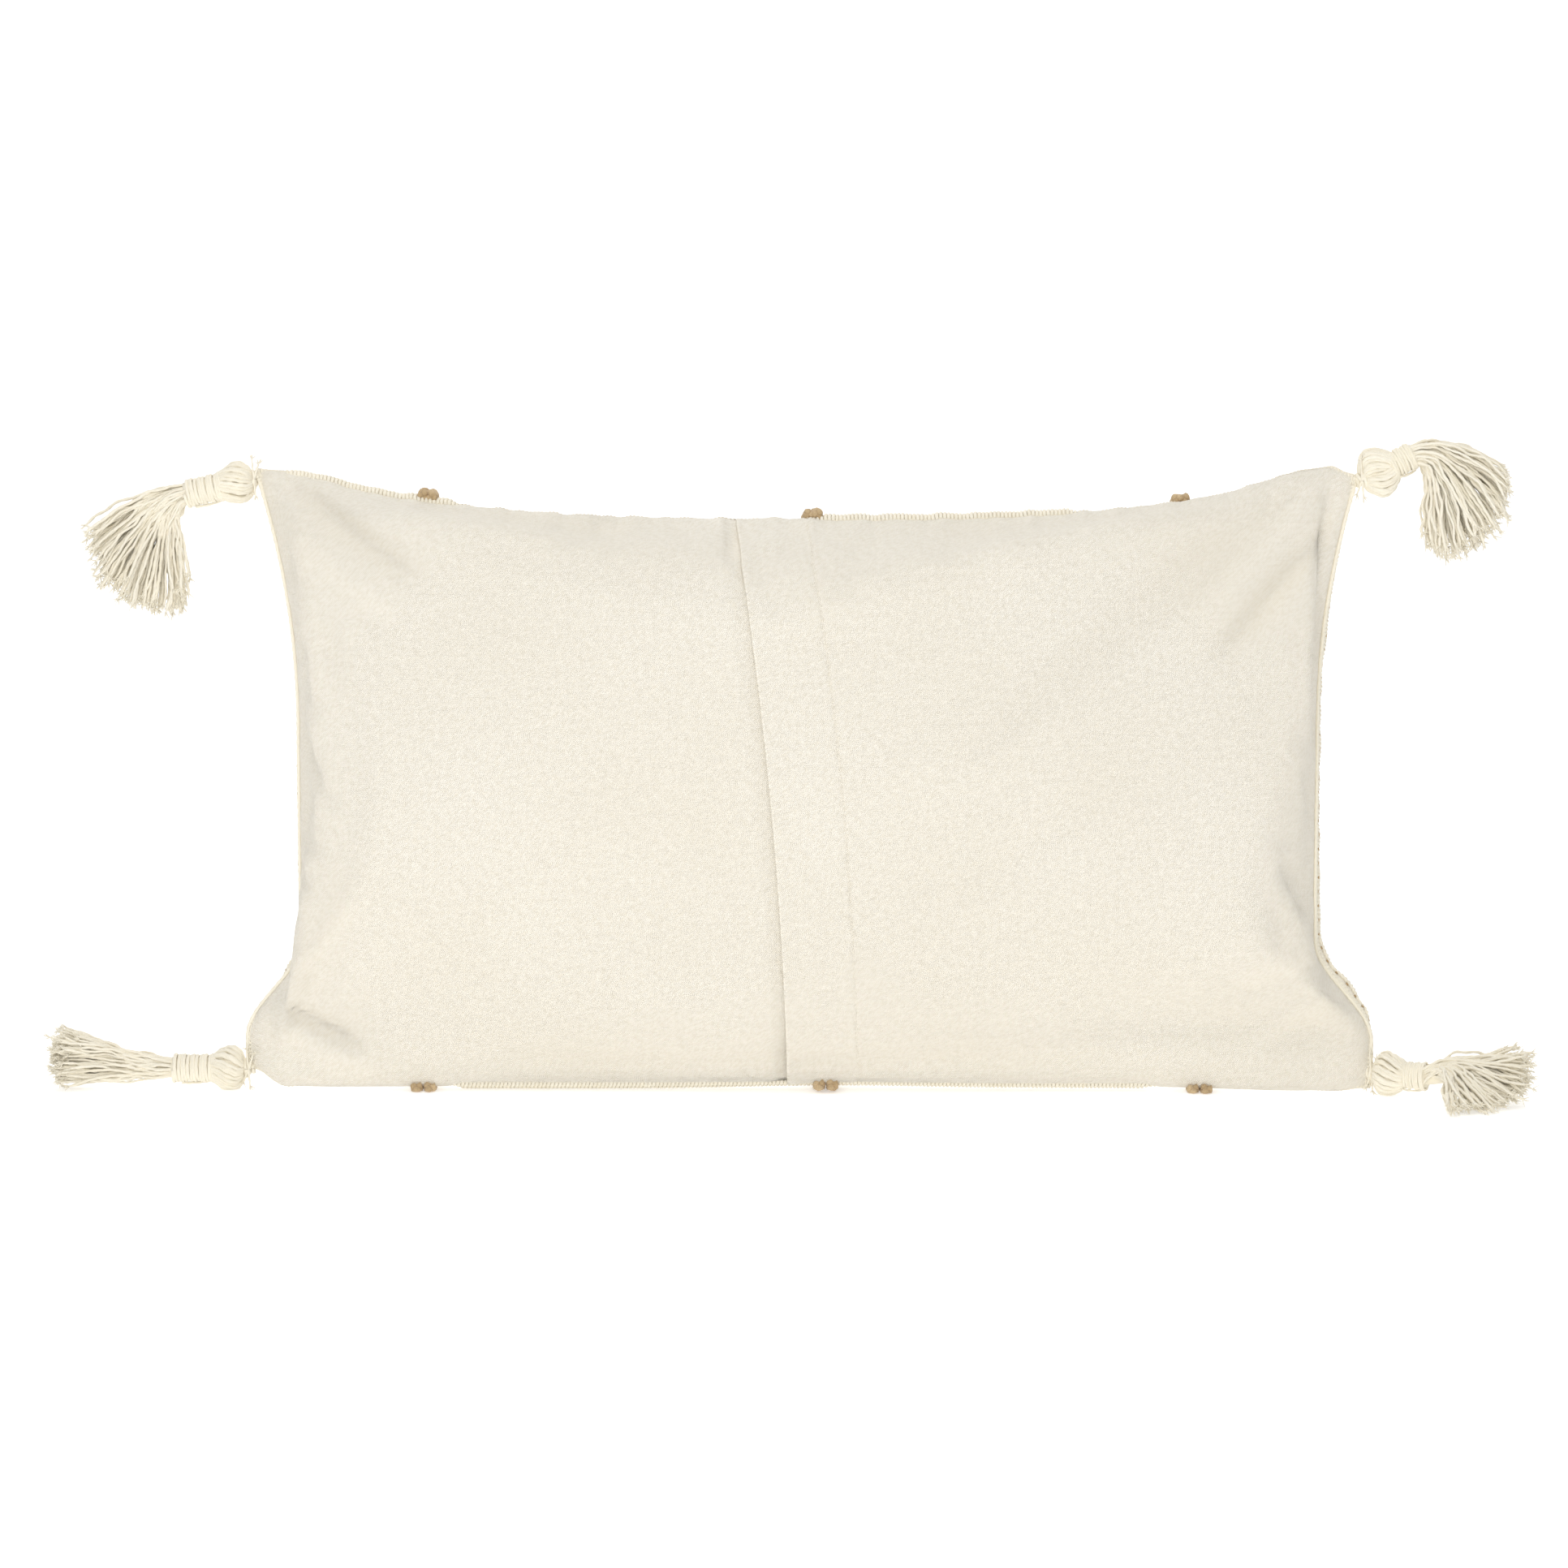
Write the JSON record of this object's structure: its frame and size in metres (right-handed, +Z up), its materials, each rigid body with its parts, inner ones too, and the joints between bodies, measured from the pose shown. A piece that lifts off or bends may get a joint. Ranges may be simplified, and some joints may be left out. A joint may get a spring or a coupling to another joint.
{
  "type": "throw pillow",
  "caption": "Rectangular lumbar throw pillow with an envelope closure, couched rope stripes, overcast seams and corner tassels.",
  "frame": {"origin": "middle of the bottom seam, on the surface the pillow stands on", "axes": "+X along the pillow's length, to the right when the closure is faced; +Y out of the corded front; +Z up"},
  "size_m": [0.8111, 0.1704, 0.3588],
  "materials": {
    "canvas": "matt woven cotton canvas, natural",
    "corded_cotton": "matt corded cotton weave, natural",
    "jute_rope": "matt twisted jute",
    "sewing_thread": "satin cotton thread",
    "casing_cloth": "matt nonwoven casing",
    "fibre_fill": "loose polyester fibre",
    "cotton_yarn": "soft cotton yarn"
  },
  "bodies": {
    "pillow": {"back_panel_underlap": "canvas", "back_panel_overlap": "canvas", "hem_turning_bottom": "canvas", "hem_turning_top": "canvas", "front_panel": "corded_cotton", "rope_left_strand_a": "jute_rope", "rope_left_strand_b": "jute_rope", "rope_centre_strand_a": "jute_rope", "rope_centre_strand_b": "jute_rope", "rope_right_strand_a": "jute_rope", "rope_right_strand_b": "jute_rope", "hem_stitching": "sewing_thread", "seam_overcast_bottom": "sewing_thread", "seam_overcast_top": "sewing_thread", "seam_overcast_left": "sewing_thread", "seam_overcast_right": "sewing_thread", "insert_casing_front": "casing_cloth", "insert_casing_back": "casing_cloth", "insert_fill": "fibre_fill"},
    "closure_flap": {"closure_flap": "canvas", "closure_flap_turning": "canvas"},
    "tassel_top_left": {"tassel_top_left_tie_cord": "cotton_yarn", "tassel_top_left_head": "cotton_yarn", "tassel_top_left_neck_wrap": "cotton_yarn"},
    "skirt_top_left": {"tassel_top_left_skirt": "cotton_yarn"},
    "tassel_top_right": {"tassel_top_right_tie_cord": "cotton_yarn", "tassel_top_right_head": "cotton_yarn", "tassel_top_right_neck_wrap": "cotton_yarn"},
    "skirt_top_right": {"tassel_top_right_skirt": "cotton_yarn"},
    "tassel_bottom_left": {"tassel_bottom_left_tie_cord": "cotton_yarn", "tassel_bottom_left_head": "cotton_yarn", "tassel_bottom_left_neck_wrap": "cotton_yarn"},
    "skirt_bottom_left": {"tassel_bottom_left_skirt": "cotton_yarn"},
    "tassel_bottom_right": {"tassel_bottom_right_tie_cord": "cotton_yarn", "tassel_bottom_right_head": "cotton_yarn", "tassel_bottom_right_neck_wrap": "cotton_yarn"},
    "skirt_bottom_right": {"tassel_bottom_right_skirt": "cotton_yarn"}
  },
  "joints": [
    {"name": "closure_flap_hinge", "type": "hinge", "parent": "pillow", "child": "closure_flap", "pos_m": [0.0205, -0.0765, 0.1555], "axis": [-0.0823, 0, 0.9966], "range_deg": [0, 35]},
    {"name": "tassel_top_left_swing", "type": "hinge", "parent": "pillow", "child": "tassel_top_left", "pos_m": [-0.2995, 0, 0.3315], "axis": [0, 1, 0], "range_deg": [-25, 40]},
    {"name": "skirt_top_left_bend", "type": "hinge", "parent": "tassel_top_left", "child": "skirt_top_left", "pos_m": [-0.3461, 0, 0.32132], "axis": [0, 1, 0], "range_deg": [-25, 40]},
    {"name": "tassel_top_right_swing", "type": "hinge", "parent": "pillow", "child": "tassel_top_right", "pos_m": [0.2995, 0, 0.332], "axis": [0, 1, 0], "range_deg": [-35, 25]},
    {"name": "skirt_top_right_bend", "type": "hinge", "parent": "tassel_top_right", "child": "skirt_top_right", "pos_m": [0.33615, 0, 0.34969], "axis": [0, 1, 0], "range_deg": [-40, 25]},
    {"name": "tassel_bottom_left_swing", "type": "hinge", "parent": "pillow", "child": "tassel_bottom_left", "pos_m": [-0.3065, 0, 0.0114], "axis": [0, 0, 1], "range_deg": [-30, 30]},
    {"name": "skirt_bottom_left_bend", "type": "hinge", "parent": "tassel_bottom_left", "child": "skirt_bottom_left", "pos_m": [-0.3572, 0, 0.0114], "axis": [0, 0, 1], "range_deg": [-35, 35]},
    {"name": "tassel_bottom_right_swing", "type": "hinge", "parent": "pillow", "child": "tassel_bottom_right", "pos_m": [0.3065, -0.016, 0.0114], "axis": [0, 0, 1], "range_deg": [-20, 35]},
    {"name": "skirt_bottom_right_bend", "type": "hinge", "parent": "tassel_bottom_right", "child": "skirt_bottom_right", "pos_m": [0.34421, -0.03381, 0.0114], "axis": [0, 0, 1], "range_deg": [-30, 40]}
  ]
}
